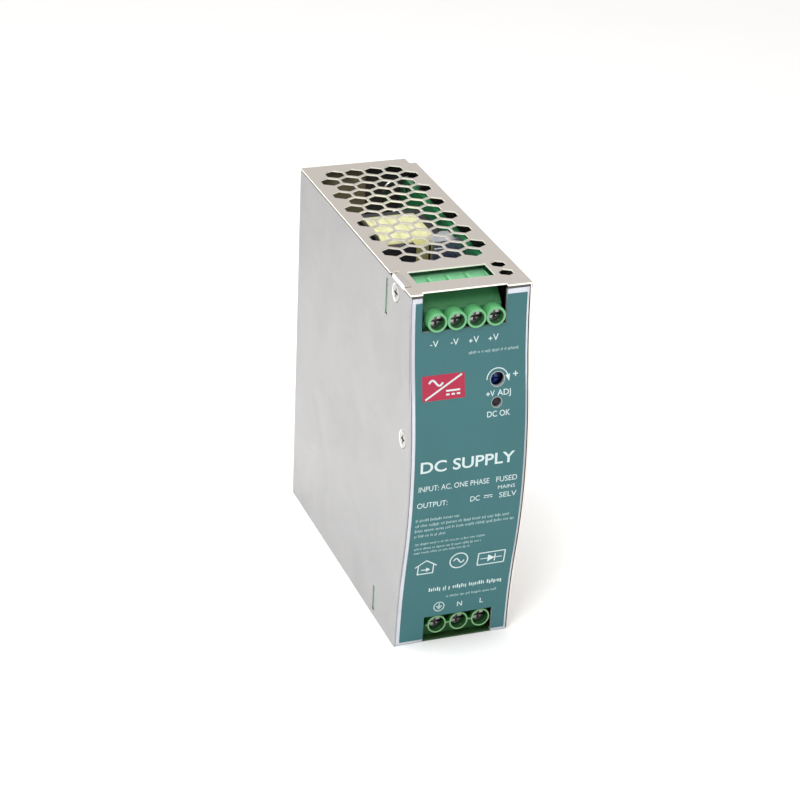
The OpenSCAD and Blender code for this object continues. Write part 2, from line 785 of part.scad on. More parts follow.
// Glass tube fuse in two clips that stand on the board
module line_fuse() color("beige") {
    rod_deep(board_x - 5, [fuse_at[0], fuse_at[1]], fuse_at[2], fuse_dia);
    for (d = [fuse_at[0] + 1, fuse_at[1] - 4])
        block([board_x - 7, board_x], [d, d + 3], fuse_at[2] * [1, 1] + [-2.8, 2.8]);
}

module surge_discs() color("teal") {
    rod_deep(board_x - 8, surge_d, 12, 12);
    rod_deep(board_x - 8, surge_d, 28, 13);
}

module primary_heatsink() color("lightgray")
    block([board_x - power_sink_w, board_x], power_sink_d, power_sink_h);

// Upright plate with a top flange that reaches over the edge of the core
module secondary_heatsink() color("lightgray") {
    front = small_sink_d[1];
    block([small_sink_x, board_x], small_sink_d, small_sink_h);
    translate([0, 0, small_sink_h[1] - small_sink_t - rail_h]) linear_extrude(small_sink_t)
        polygon([
            [small_sink_x, -front], [small_sink_x, 3.1 - front], [10.3, 7.8 - front],
            [13, 7.8 - front], [13, -front],
        ]);
}

// Moulded transistor with its metal tab, flat on a heat sink
module transistor(x, d, h) {
    block([x - 5, x + 5], [d, d + 1.3], [h - 8, h + 8]);
    block([x - 5, x + 5], [d + 1.2, d + 4.5], [h - 8, h + 1]);
}

module power_transistors() color("black")
    for (h = transistors_h) transistor(board_x - 10, power_sink_d[1], h);

module bridge_rectifier() color("black")
    block([board_x - 20, board_x - 4], [power_sink_d[0] - 4, power_sink_d[0]], [50, 70]);

module control_chips() color("black") {
    block([board_x - 1.7, board_x], [43, 49], [44, 54]);
    block([board_x - 3.5, board_x], [42.5, 49], [60, 66.5]);
}

chassis();
left_cover();
front_panel();
front_label();
cover_screws();
rail_bracket();
bracket_screws();
rail_latch();
latch_spring();
main_board();
output_board();
input_board();
control_board();
standoffs();
board_screws();
insulation_sheet();
output_terminal();
output_contacts();
output_screw(0);  // output_screw_1
output_screw(1);  // output_screw_2
output_screw(2);  // output_screw_3
output_screw(3);  // output_screw_4
output_clamp(0);  // output_clamp_1
output_clamp(1);  // output_clamp_2
output_clamp(2);  // output_clamp_3
output_clamp(3);  // output_clamp_4
input_terminal();
input_contacts();
input_screw(0);  // input_screw_1
input_screw(1);  // input_screw_2
input_screw(2);  // input_screw_3
input_clamp(0);  // input_clamp_1
input_clamp(1);  // input_clamp_2
input_clamp(2);  // input_clamp_3
trimmer_body();
trimmer_rotor();
indicator_lamp();
transformer_core();
transformer_coil();
transformer_bobbin();
bulk_capacitors();
output_capacitors();
filter_capacitors();
choke_core();
choke_coils();
inductor_core();
inductor_winding();
film_capacitors();
disc_capacitors();
line_fuse();
surge_discs();
primary_heatsink();
secondary_heatsink();
power_transistors();
bridge_rectifier();
control_chips();
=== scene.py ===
"""Looks of a DIN rail power supply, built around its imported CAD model. Metres, front facing -Y, +Z up."""

import math
import random

import bmesh
import bpy
from mathutils import Matrix, Vector


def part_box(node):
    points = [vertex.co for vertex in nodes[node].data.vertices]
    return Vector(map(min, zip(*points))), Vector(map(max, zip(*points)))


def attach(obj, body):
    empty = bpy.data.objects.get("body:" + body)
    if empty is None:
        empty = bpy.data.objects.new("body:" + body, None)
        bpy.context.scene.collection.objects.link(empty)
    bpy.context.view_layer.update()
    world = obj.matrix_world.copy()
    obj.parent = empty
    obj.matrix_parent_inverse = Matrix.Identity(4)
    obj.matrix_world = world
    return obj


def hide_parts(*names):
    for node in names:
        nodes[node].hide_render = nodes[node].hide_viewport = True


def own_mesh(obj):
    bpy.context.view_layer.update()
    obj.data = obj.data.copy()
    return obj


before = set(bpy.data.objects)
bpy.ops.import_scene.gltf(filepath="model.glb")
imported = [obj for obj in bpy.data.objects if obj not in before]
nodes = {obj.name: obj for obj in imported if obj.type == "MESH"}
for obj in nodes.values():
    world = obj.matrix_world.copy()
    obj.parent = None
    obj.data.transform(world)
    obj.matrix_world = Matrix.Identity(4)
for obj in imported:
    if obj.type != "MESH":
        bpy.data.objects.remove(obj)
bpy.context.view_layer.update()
collection = bpy.context.scene.collection
random.seed(35)

# ---- Sizes shared with the CAD model, in millimetres -----------------------

MM = 0.001
RAIL_H = 66.6
BODY_H = 125.2
HALF_W = 20.0
END_D = 107.4
FRONT_BOW = 6.1
SHEET = 0.6
REAR_D = 0.3
OUT_X, OUT_PITCH, OUT_POLES, OUT_H = -1.7, 6.4, 4, 115.7
OUT_MOUTH_D, OUT_BORE_R = 109.0, 2.42
OUT_SLOPE_D = (100.0, 104.85)
OUT_POCKET_D = 80.0
IN_X, IN_PITCH, IN_POLES, IN_H = 2.4, 7.62, 3, 6.0
IN_MOUTH_D, IN_BORE_R, IN_FACE_D = 107.2, 2.72, 104.0
IN_NOTCH_X = (-10.0, 14.0)
TRIMMER_AT, TRIMMER_HOLE_R = (9.1, 94.8), 2.3
LAMP_AT, LAMP_HOLE_R = (8.8, 87.4), 1.65
COVER_SCREWS, COVER_DISH_R = ((94.8, 120.6), (106.4, 75.8)), 3.12
LOCK_TAB_D = (91.0, 101.4)
LOCK_TAB_H = (BODY_H - 0.8, BODY_H + 1.0)
FOLD_X, LOCK_TAB_X = 0.3 - HALF_W, -17.0
QUARTER = BODY_H / 4
WAVE_R = (QUARTER ** 2 + FRONT_BOW ** 2 / 4) / FRONT_BOW


def at(x, depth, height):
    """A point given by place across, depth from the rail seat and height above the underside."""
    return Vector((x, -depth, height - RAIL_H)) * MM


def front_depth(h):
    """Depth of the wavy front at a height."""
    from_middle = abs(h - BODY_H / 2)
    if from_middle <= QUARTER:
        return END_D + FRONT_BOW - WAVE_R + math.sqrt(WAVE_R ** 2 - from_middle ** 2)
    from_end = BODY_H / 2 - from_middle
    return END_D + WAVE_R - math.sqrt(WAVE_R ** 2 - from_end ** 2)


# ---- Material helpers ------------------------------------------------------


class Surface:
    """A material with a Principled shader and a few ways to vary it in the object's own space."""

    def __init__(self, name, colour, roughness=0.5, metallic=0.0, **sockets):
        self.mat = bpy.data.materials.new(name)
        self.mat.use_nodes = True
        self.tree = self.mat.node_tree
        self.shader = self.tree.nodes["Principled BSDF"]
        self.colour = (*colour, 1.0)
        self.set("Base Color", self.colour)
        self.set("Roughness", roughness)
        self.set("Metallic", metallic)
        for key, value in sockets.items():
            self.set(key.replace("_", " "), value)
        self.coords = self.node("ShaderNodeTexCoord").outputs["Object"]
        self.height = None

    def set(self, socket, value):
        self.shader.inputs[socket].default_value = value

    def node(self, kind, **inputs):
        made = self.tree.nodes.new(kind)
        for key, value in inputs.items():
            key = key.replace("_", " ")
            if isinstance(value, bpy.types.NodeSocket):
                self.tree.links.new(value, made.inputs[key])
            else:
                made.inputs[key].default_value = value
        return made

    def link(self, output, socket):
        self.tree.links.new(output, self.shader.inputs[socket])

    def stretched(self, scale):
        """Object coordinates scaled by three factors, so that a texture runs along one way."""
        return self.node("ShaderNodeMapping", Vector=self.coords, Scale=scale).outputs["Vector"]

    def noise(self, scale, detail=3.0, rough=0.55, stretch=(1, 1, 1), distortion=0.0):
        """Noise of about `scale` blotches in a millimetre."""
        vector = self.stretched([s / MM for s in stretch])
        made = self.node("ShaderNodeTexNoise", Vector=vector, Scale=scale, Detail=detail,
                         Roughness=rough, Distortion=distortion)
        return made.outputs["Fac"]

    def ramp(self, value, low, high, to_low=0.0, to_high=1.0):
        made = self.node("ShaderNodeMapRange", Value=value)
        made.interpolation_type = "SMOOTHSTEP"
        for i, v in zip((1, 2, 3, 4), (low, high, to_low, to_high)):
            made.inputs[i].default_value = v
        return made.outputs["Result"]

    def math(self, operation, a, b):
        made = self.tree.nodes.new("ShaderNodeMath")
        made.operation = operation
        for i, value in enumerate((a, b)):
            if isinstance(value, bpy.types.NodeSocket):
                self.tree.links.new(value, made.inputs[i])
            else:
                made.inputs[i].default_value = value
        return made.outputs[0]

    def tint(self, mask, colour):
        """Mixes colour over what the base is now, where mask is 1."""
        made = self.tree.nodes.new("ShaderNodeMix")
        made.data_type = "RGBA"
        base = self.shader.inputs["Base Color"]
        if base.is_linked:
            self.tree.links.new(base.links[0].from_socket, made.inputs[6])
        else:
            made.inputs[6].default_value = self.colour
        made.inputs[7].default_value = (*colour, 1.0)
        self.tree.links.new(mask, made.inputs[0])
        self.tree.links.new(made.outputs[2], base)

    def place(self):
        """Place in the frame: outputs X, Y and Z, in metres."""
        return self.node("ShaderNodeSeparateXYZ", Vector=self.coords).outputs

    def above(self, value, limit):
        """1 where a value in metres is above a limit in millimetres."""
        return self.math("GREATER_THAN", value, limit * MM)

    def below(self, value, limit):
        return self.math("LESS_THAN", value, limit * MM)

    def every(self, *masks):
        """1 where every mask is 1."""
        whole = masks[0]
        for mask in masks[1:]:
            whole = self.math("MULTIPLY", whole, mask)
        return whole

    def at_heights(self, low, high):
        """1 between two heights above the underside of the case, in millimetres."""
        z = self.place()["Z"]
        return self.every(self.above(z, low - RAIL_H), self.below(z, high - RAIL_H))

    def at_depths(self, near, far):
        """1 between two depths from the rail seat, in millimetres."""
        y = self.place()["Y"]
        return self.every(self.below(y, -near), self.above(y, -far))

    def upright(self):
        """1 on faces that stand upright."""
        normal = self.node("ShaderNodeTexCoord").outputs["Normal"]
        lean = self.math("ABSOLUTE", self.node("ShaderNodeSeparateXYZ", Vector=normal).outputs["Z"], 0.0)
        return self.math("LESS_THAN", lean, 0.5)

    def round_spot(self, along, height, radius):
        """1 within a radius of the line where a distance in metres is 0, at a height."""
        up = self.math("SUBTRACT", self.place()["Z"], (height - RAIL_H) * MM)
        squares = self.math("ADD", self.math("MULTIPLY", along, along), self.math("MULTIPLY", up, up))
        return self.math("LESS_THAN", squares, (radius * MM) ** 2)

    def in_bores(self, first_x, pitch, height, radius):
        """1 within a row of round bores that open to the front and lie a pitch apart."""
        along = self.math("SUBTRACT", self.place()["X"], (first_x - pitch / 2) * MM)
        along = self.math("SUBTRACT", self.math("FLOORED_MODULO", along, pitch * MM), pitch / 2 * MM)
        return self.round_spot(along, height, radius)

    def dish_rim(self, depth, height, radius):
        """1 on the rear half of a countersink in the left side."""
        along = self.math("ADD", self.place()["Y"], depth * MM)
        return self.every(self.round_spot(along, height, radius), self.above(along, 0.0),
                          self.below(self.place()["X"], SHEET - HALF_W))

    def lock_tab(self, x):
        """1 on the part of the cover's locking tab that lies left of x."""
        return self.every(self.below(self.place()["X"], x), self.at_depths(*LOCK_TAB_D),
                          self.at_heights(*LOCK_TAB_H))

    def inside_case(self):
        """1 on faces that look into the case: within its walls, top, bottom and rear."""
        slack = 0.04
        wall = SHEET - slack
        reach = self.math("ABSOLUTE", self.place()["X"], 0.0)
        return self.every(self.below(reach, HALF_W - wall), self.at_heights(wall, BODY_H - wall),
                          self.below(self.place()["Y"], -REAR_D - wall))

    def vary_roughness(self, mask, low, high):
        self.link(self.ramp(mask, 0.3, 0.7, low, high), "Roughness")

    def bump(self, height, distance, strength=1.0):
        """Adds relief of `distance` millimetres."""
        made = self.node("ShaderNodeBump", Height=height, Strength=strength, Distance=distance * MM)
        if self.height is not None:
            self.tree.links.new(self.height, made.inputs["Normal"])
        self.height = made.outputs["Normal"]
        self.link(self.height, "Normal")
        return self


def satin_sheet(name, colour, roughness, grain=(9, 0.35, 9), highlit_cut_edges=(), painted_inside_shade=False, painted_tab_and_screw_light=False):
    """Plated sheet metal with a rolled grain, faint smudges and tiny pits. Where the cut-edge heights give a
    lowest and a highest height in millimetres, the upright faces between them are dull and painted pale
    cream, as a painted highlight on the cut edges. Optionally the faces that look into the case are painted
    dull and dark, as shade; and the fold of the locking tab and the rear rims of the screws' countersinks are
    dull and painted pale, as a highlight, while the tab's top is painted paler, as lit."""
    s = Surface(name, colour, roughness, 1.0)
    rolled = s.noise(1.0, 4, 0.6, grain)
    smudge = s.noise(0.045, 5, 0.62, distortion=0.6)
    pits = s.noise(2.2, 2, 0.7)
    s.tint(s.ramp(smudge, 0.42, 0.75, 0.0, 0.35), tuple(c * 0.93 for c in colour))
    s.tint(s.ramp(rolled, 0.35, 0.7, 0.0, 0.3), tuple(min(1.0, c * 1.07) for c in colour))
    both = s.math("ADD", s.math("MULTIPLY", rolled, 0.5), s.math("MULTIPLY", smudge, 0.5))
    rough = s.ramp(both, 0.3, 0.7, roughness * 0.82, roughness * 1.25)
    # Mask and colour of each place painted with shade or a highlight
    places = []
    if painted_inside_shade:
        # Painted shade: the faces inside the case are painted dark
        places.append((s.inside_case(), INSIDE_SHADE_COLOUR))
    for low, high in highlit_cut_edges:
        # Painted highlight: the cut edges are painted pale cream
        places.append((s.every(s.at_heights(low, high), s.upright()), CUT_EDGE_HIGHLIGHT_COLOUR))
    dull = 0.0
    for mask, painted_colour in places:
        s.tint(mask, painted_colour)
        dull = s.math("MAXIMUM", dull, mask)
    if painted_tab_and_screw_light:
        # The tab's top painted paler than the rest of the sheet, as lit
        s.tint(s.lock_tab(LOCK_TAB_X), LIT_TAB_TOP_COLOUR)
        # Painted highlight on the tab's fold and the rear rims of the countersinks
        painted_highlight = s.lock_tab(FOLD_X)
        for depth, height in COVER_SCREWS:
            painted_highlight = s.math("MAXIMUM", painted_highlight, s.dish_rim(depth, height, COVER_DISH_R))
        s.tint(painted_highlight, FOLD_HIGHLIGHT_COLOUR)
        dull = s.math("MAXIMUM", dull, painted_highlight)
    if places or painted_tab_and_screw_light:
        s.link(s.math("SUBTRACT", 1.0, dull), "Metallic")
        rough = s.math("MAXIMUM", rough, s.math("MULTIPLY", dull, DULL_ROUGHNESS))
    s.link(rough, "Roughness")
    s.bump(rolled, 0.0012).bump(pits, 0.0008)
    return s.mat


def moulded(name, colour, roughness=0.42, texture=0.004, light_and_shade_zones=(), shaded_bores=None):
    """Moulded plastic: fine spark-eroded texture and slight flow marks. Each of the zones gives two depths in
    millimetres and the colour painted between them: paler for a painted highlight or a face painted as lit,
    darker for painted shade. Bores, given as for in_bores and a colour, are painted darker inside, as shade."""
    s = Surface(name, colour, roughness)
    flow = s.noise(0.12, 3, 0.6, distortion=1.0)
    fine = s.noise(5.0, 2, 0.6)
    s.tint(s.ramp(flow, 0.35, 0.75, 0.0, 0.5), tuple(c * 0.86 for c in colour))
    # Painted light and shade between two depths
    for near, far, painted_tone in light_and_shade_zones:
        s.tint(s.math("MULTIPLY", s.at_depths(near, far), PAINTED_SHADING_STRENGTH), painted_tone)
    # Painted shade inside the bores
    if shaded_bores:
        s.tint(s.math("MULTIPLY", s.in_bores(*shaded_bores[:4]), PAINTED_SHADING_STRENGTH), shaded_bores[4])
    s.vary_roughness(fine, roughness * 0.85, roughness * 1.2)
    s.bump(fine, texture).bump(flow, 0.02, 0.5)
    return s.mat


def printed_film(name, colour, weave=0.28):
    """Matt front film: fine mottling of the screen print over a slightly uneven adhesive."""
    s = Surface(name, colour, 0.5, 0.0, Specular_IOR_Level=0.3)
    mottle = s.noise(1.7, 3, 0.65)
    uneven = s.noise(0.05, 3, 0.5)
    s.tint(s.ramp(mottle, 0.35, 0.7, 0.0, weave), tuple(c * 1.35 for c in colour))
    s.tint(s.ramp(uneven, 0.3, 0.8, 0.0, 0.3), tuple(c * 0.88 for c in colour))
    s.vary_roughness(mottle, 0.42, 0.6)
    s.bump(mottle, 0.003).bump(uneven, 0.02, 0.4)
    return s.mat


def bright_metal(name, colour, roughness=0.2, stretch=(1, 1, 1)):
    """Plated or bare metal of small parts, with fine tool marks."""
    s = Surface(name, colour, roughness, 1.0)
    marks = s.noise(3.0, 3, 0.6, stretch)
    tarnish = s.noise(0.35, 4, 0.6)
    s.tint(s.ramp(tarnish, 0.45, 0.8, 0.0, 0.55), tuple(c * 0.72 for c in colour))
    s.vary_roughness(marks, roughness * 0.7, roughness * 1.5)
    s.bump(marks, 0.004)
    return s.mat


def solder_mask(name, colour, copper):
    """Printed board: tracks under the mask as paler, raised runs with square corners."""
    s = Surface(name, colour, 0.32, 0.0, Coat_Weight=0.5, Coat_Roughness=0.15)
    cells = s.node("ShaderNodeTexVoronoi", Vector=s.stretched((140, 140, 140)), Scale=1.0)
    cells.distance = "CHEBYCHEV"
    cells.feature = "F1"
    edge = s.ramp(cells.outputs["Distance"], 0.18, 0.3)
    weave = s.noise(1.6, 2, 0.5)
    s.tint(edge, copper)
    s.tint(s.ramp(weave, 0.4, 0.8, 0.0, 0.3), tuple(c * 0.7 for c in colour))
    s.vary_roughness(weave, 0.24, 0.42)
    s.bump(edge, 0.035).bump(weave, 0.004)
    return s.mat


def sleeve(name, colour, folds):
    """Glossy shrink sleeve of a capacitor, paler on its folds."""
    roughness = 0.3
    s = Surface(name, colour, roughness, 0.0, Coat_Weight=0.4, Coat_Roughness=0.2)
    wrinkles = s.noise(0.5, 3, 0.6, (0.15, 1, 1))
    fine = s.noise(4.0, 2, 0.6)
    s.tint(s.ramp(wrinkles, 0.55, 0.75, 0.0, 0.35), folds)
    s.vary_roughness(wrinkles, roughness * 0.8, roughness * 1.4)
    s.bump(wrinkles, 0.05).bump(fine, 0.003)
    return s.mat


def wound_tape(name, colour, shade):
    """Glossy polyester tape in overlapping turns, with a darker line at each edge of a turn."""
    s = Surface(name, colour, 0.3, 0.0, Coat_Weight=0.3, Coat_Roughness=0.15)
    turns = s.node("ShaderNodeTexWave", Vector=s.stretched((60, 6, 6)), Scale=1.0,
                   Distortion=2.5, Detail=2.0, Detail_Scale=1.2)
    lines = s.ramp(turns.outputs["Fac"], 0.86, 0.97)
    folds = s.noise(0.25, 3, 0.6)
    s.tint(s.ramp(folds, 0.35, 0.75, 0.0, 0.5), tuple(c * 0.9 for c in colour))
    s.tint(s.math("MULTIPLY", lines, 0.2), shade)
    s.vary_roughness(folds, 0.22, 0.42)
    s.bump(lines, 0.05).bump(folds, 0.08, 0.5)
    return s.mat


# ---- Materials of the CAD nodes --------------------------------------------

# Painted highlight on the cut edges
CUT_EDGE_HIGHLIGHT_COLOUR = (0.97, 0.94, 0.83)
# Painted highlight on the tab's fold and the countersink rims
FOLD_HIGHLIGHT_COLOUR = (0.88, 0.87, 0.86)
# The tab's top, painted paler as lit
LIT_TAB_TOP_COLOUR = (0.66, 0.63, 0.60)
# Painted shade inside the case
INSIDE_SHADE_COLOUR = (0.045, 0.042, 0.04)
DULL_ROUGHNESS = 0.55
# How strongly the painted light and shade of the plastics shows
PAINTED_SHADING_STRENGTH = 0.85
EDGE_INSET = 0.05
# The chassis: painted shade inside and a painted highlight on the cut edges
case_metal = satin_sheet(
    "case_metal", (0.72, 0.675, 0.63), 0.34, painted_inside_shade=True,
    highlit_cut_edges=[(BODY_H - SHEET + EDGE_INSET, BODY_H - EDGE_INSET), (EDGE_INSET, SHEET - EDGE_INSET)])
# The cover: painted shade inside, painted highlights on the tab's fold and countersink rims, and the tab's
# top painted paler, as lit
cover_metal = satin_sheet("cover_metal", (0.385, 0.383, 0.386), 0.32, painted_inside_shade=True, painted_tab_and_screw_light=True)
front_metal = satin_sheet("front_metal", (0.60, 0.62, 0.66), 0.6, (9, 9, 0.35))
clip_metal = satin_sheet("clip_metal", (0.50, 0.50, 0.50), 0.34, (0.4, 9, 9))
latch_metal = satin_sheet("latch_metal", (0.40, 0.40, 0.41), 0.38, (9, 9, 0.4))
screw_metal = bright_metal("screw_metal", (0.50, 0.49, 0.46), 0.17)
# The terminal screws: the screws' nickel painted darker, as the shade in their bores
shaded_screw = bright_metal("shaded_screw", (0.32, 0.315, 0.31), 0.14)
clamp_metal = bright_metal("clamp_metal", (0.55, 0.56, 0.58), 0.3)
contact_metal = bright_metal("contact_metal", (0.72, 0.66, 0.5), 0.3)
spring_metal = bright_metal("spring_metal", (0.5, 0.5, 0.5), 0.22, (0.3, 1, 1))
sink_metal = bright_metal("sink_metal", (0.70, 0.73, 0.80), 0.35, (6, 6, 0.3))

label_film = printed_film("label_film", (0.033, 0.122, 0.131))
# Painted shade in the bores and on the slope under the top's lip, a painted highlight on the collars' mouths,
# and the pockets painted paler, as lit
output_green = moulded(
    "output_green", (0.070, 0.295, 0.108), 0.4, 0.003,
    shaded_bores=(OUT_X - (OUT_POLES - 1) / 2 * OUT_PITCH, OUT_PITCH, OUT_H, OUT_BORE_R, (0.012, 0.075, 0.022)),
    light_and_shade_zones=((OUT_MOUTH_D - 0.2, OUT_MOUTH_D + 1, (0.12, 0.37, 0.165)),
           (*OUT_SLOPE_D, (0.022, 0.135, 0.045)),
           (OUT_POCKET_D, OUT_SLOPE_D[0] - 0.5, (0.16, 0.44, 0.23))))
# Painted shade in the bores and a painted highlight on the collars' mouths
input_green = moulded(
    "input_green", (0.012, 0.085, 0.016), 0.4, 0.003,
    shaded_bores=(IN_X - (IN_POLES - 1) / 2 * IN_PITCH, IN_PITCH, IN_H, IN_BORE_R, (0.008, 0.055, 0.012)),
    light_and_shade_zones=((IN_MOUTH_D - 0.35, IN_MOUTH_D + 1, (0.17, 0.38, 0.16)),))
board_green = solder_mask("board_green", (0.006, 0.085, 0.03), (0.018, 0.17, 0.06))
insulator = moulded("insulator", (0.018, 0.020, 0.018), 0.4, 0.002)
trimmer_blue = moulded("trimmer_blue", (0.003, 0.005, 0.03), 0.4)
rotor_blue = moulded("rotor_blue", (0.008, 0.035, 0.20), 0.3)
lamp_lens = Surface("lamp_lens", (0.022, 0.017, 0.020), 0.5, 0.0, Specular_IOR_Level=0.15)
lamp_lens.tint(lamp_lens.ramp(lamp_lens.noise(1.5, 2), 0.4, 0.7, 0.0, 0.5), (0.04, 0.033, 0.036))
lamp_lens.bump(lamp_lens.noise(0.8), 0.01)
ferrite = moulded("ferrite", (0.022, 0.022, 0.025), 0.55, 0.01)
coil_tape = wound_tape("coil_tape", (0.63, 0.625, 0.345), (0.25, 0.23, 0.06))
bobbin_black = moulded("bobbin_black", (0.012, 0.012, 0.012), 0.4)
can_black = sleeve("can_black", (0.012, 0.012, 0.014), (0.05, 0.05, 0.05))
can_navy = sleeve("can_navy", (0.012, 0.018, 0.06), (0.05, 0.07, 0.14))
copper = bright_metal("copper", (0.72, 0.26, 0.08), 0.25, (1, 4, 4))
powder_core = moulded("powder_core", (0.5, 0.38, 0.06), 0.45, 0.02)
film_yellow = moulded("film_yellow", (0.55, 0.36, 0.03), 0.4)
disc_blue = moulded("disc_blue", (0.01, 0.06, 0.22), 0.3, 0.01)
surge_dip = moulded("surge_dip", (0.02, 0.07, 0.06), 0.35, 0.01)
chip_black = moulded("chip_black", (0.014, 0.014, 0.015), 0.5, 0.006)
fuse_glass = Surface("fuse_glass", (0.8, 0.85, 0.83), 0.06, 0.0, Transmission_Weight=0.7)
fuse_glass.tint(fuse_glass.ramp(fuse_glass.noise(0.4), 0.45, 0.7, 0.0, 0.3), (0.6, 0.66, 0.64))
fuse_glass.bump(fuse_glass.noise(0.5), 0.005)

# Looks of the added pieces
white_ink = printed_film("white_ink", (0.52, 0.61, 0.61), 0.1)
pale_ink = printed_film("pale_ink", (0.30, 0.42, 0.42), 0.1)
red_ink = printed_film("red_ink", (0.34, 0.013, 0.045), 0.1)
ring_ink = printed_film("ring_ink", (0.40, 0.43, 0.40), 0.1)
dark_film = moulded("dark_film", (0.012, 0.011, 0.010), 0.5, 0.002)
olive_board = moulded("olive_board", (0.20, 0.175, 0.105), 0.5, 0.004)
olive_tape = moulded("olive_tape", (0.42, 0.40, 0.16), 0.35, 0.002)
tinned = bright_metal("tinned", (0.80, 0.80, 0.80), 0.22)
# Painted shade: the sill's green is darker than the terminal's
shaded_sill_green = moulded("shaded_sill_green", (0.010, 0.045, 0.008), 0.5, 0.003)


def poles(part):
    """Names of the seven nodes of a part that each pole has."""
    return (["output_%s_%d" % (part, i + 1) for i in range(OUT_POLES)]
            + ["input_%s_%d" % (part, i + 1) for i in range(IN_POLES)])


LOOKS = {
    case_metal: ["chassis"],
    cover_metal: ["left_cover"],
    front_metal: ["front_panel"],
    label_film: ["front_label"],
    clip_metal: ["rail_bracket"],
    latch_metal: ["rail_latch"],
    spring_metal: ["latch_spring"],
    screw_metal: ["cover_screws", "bracket_screws", "board_screws", "standoffs"],
    shaded_screw: poles("screw"),
    clamp_metal: poles("clamp"),
    contact_metal: ["output_contacts", "input_contacts"],
    output_green: ["output_terminal"],
    input_green: ["input_terminal"],
    board_green: ["main_board", "output_board", "input_board", "control_board"],
    insulator: ["insulation_sheet"],
    trimmer_blue: ["trimmer_body"],
    rotor_blue: ["trimmer_rotor"],
    lamp_lens.mat: ["indicator_lamp"],
    ferrite: ["transformer_core", "choke_core"],
    coil_tape: ["transformer_coil"],
    bobbin_black: ["transformer_bobbin"],
    can_black: ["bulk_capacitors"],
    can_navy: ["output_capacitors", "filter_capacitors"],
    copper: ["choke_coils", "inductor_winding"],
    powder_core: ["inductor_core"],
    film_yellow: ["film_capacitors"],
    disc_blue: ["disc_capacitors"],
    surge_dip: ["surge_discs"],
    sink_metal: ["primary_heatsink", "secondary_heatsink"],
    chip_black: ["power_transistors", "bridge_rectifier", "control_chips"],
    fuse_glass.mat: ["line_fuse"],
}
for look, names in LOOKS.items():
    for name in names:
        mesh = nodes[name].data
        mesh.materials.clear()
        mesh.materials.append(look)

# ---- Edges of the CAD nodes ------------------------------------------------

# Width of the broken edges, in millimetres
ROUNDED = {
    0.12: ["chassis", "left_cover"],
    0.15: ["front_panel", "transformer_core", "rail_bracket", "rail_latch", "secondary_heatsink"],
    0.25: ["output_terminal", "input_terminal"],
}
for width, names in ROUNDED.items():
    for name in names:
        weld = nodes[name].modifiers.new("weld", "WELD")
        weld.merge_threshold = 0.01 * MM
        bevel = nodes[name].modifiers.new("bevel", "BEVEL")
        bevel.width = width * MM
        bevel.segments = 1
        bevel.limit_method = "ANGLE"
        bevel.angle_limit = math.radians(40)

# ---- Helpers for the added pieces ------------------------------------------


def piece(name, bm, look, body="case", smooth=False):
    """Makes an object of a bmesh, gives it its look and material slot, and lets it ride on a body."""
    mesh = bpy.data.meshes.new(name)
    bmesh.ops.recalc_face_normals(bm, faces=bm.faces[:])
    bm.to_mesh(mesh)
    bm.free()
    for face in mesh.polygons:
        face.use_smooth = smooth
    mesh.materials.append(look)
    made = bpy.data.objects.new(name, mesh)
    collection.objects.link(made)
    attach(made, body)
    return made


def block(bm, x, d, h, bevel=0.0):
    """Adds a box between two x, two depths and two heights, with its edges broken."""
    low, high = at(x[0], d[1], h[0]), at(x[1], d[0], h[1])
    made = bmesh.ops.create_cube(bm, size=1.0)["verts"]
    for v in made:
        v.co = Vector(low[i] if v.co[i] < 0 else high[i] for i in range(3))
    if bevel:
        edges = dict.fromkeys(e for v in made for e in v.link_edges)
        bmesh.ops.bevel(bm, geom=list(edges), offset=bevel * MM, segments=2, affect="EDGES", profile=0.5)


def tube(bm, path, radius, sides=10):
    """Adds a round wire along a path of points, in metres."""
    rings = []
    lift = None
    for i, point in enumerate(path):
        along = (path[min(i + 1, len(path) - 1)] - path[max(i - 1, 0)]).normalized()
        if lift is None:
            lift = along.orthogonal().normalized()
        lift = (lift - along * lift.dot(along)).normalized()
        side = along.cross(lift)
        rings.append([bm.verts.new(point + radius * (math.cos(a) * lift + math.sin(a) * side))
                      for a in (2 * math.pi * k / sides for k in range(sides))])
    for near, far in zip(rings, rings[1:]):
        for k in range(sides):
            bm.faces.new((near[k], near[(k + 1) % sides], far[(k + 1) % sides], far[k]))
    bm.faces.new(rings[0])
    bm.faces.new(reversed(rings[-1]))


# ---- Print on the front ----------------------------------------------------

# Ink lies between two distances from the film's surface, in millimetres. Where two strokes cross, one is
# raised a little, so that no two faces share a plane.
INK = (-0.02, 0.035)
RAISED_INK = (-0.017, 0.038)
PATCH_INK = (-0.02, 0.02)
OVER_PATCH = (0.0, 0.045)
RAISED_OVER_PATCH = (0.0, 0.048)
# Flat print is cut into rows of this height before it bends with the film
ROW = 1.5
# Height of the capitals in the built-in font of size 1
CAP_HEIGHT = 0.72


def lay_on_front(bm):
    """Moves a flat print, built in millimetres as across, height and thickness, onto the wavy front."""
    heights = [v.co.y for v in bm.verts]
    cuts = [ROW * k for k in range(math.ceil(min(heights) / ROW), math.floor(max(heights) / ROW) + 1)]
    for h in cuts:
        bmesh.ops.bisect_plane(bm, geom=bm.verts[:] + bm.edges[:] + bm.faces[:], dist=0.0001,
                               plane_co=(0, h, 0), plane_no=(0, 1, 0))
    for v in bm.verts:
        v.co = at(v.co.x, front_depth(v.co.y) + v.co.z, v.co.y)


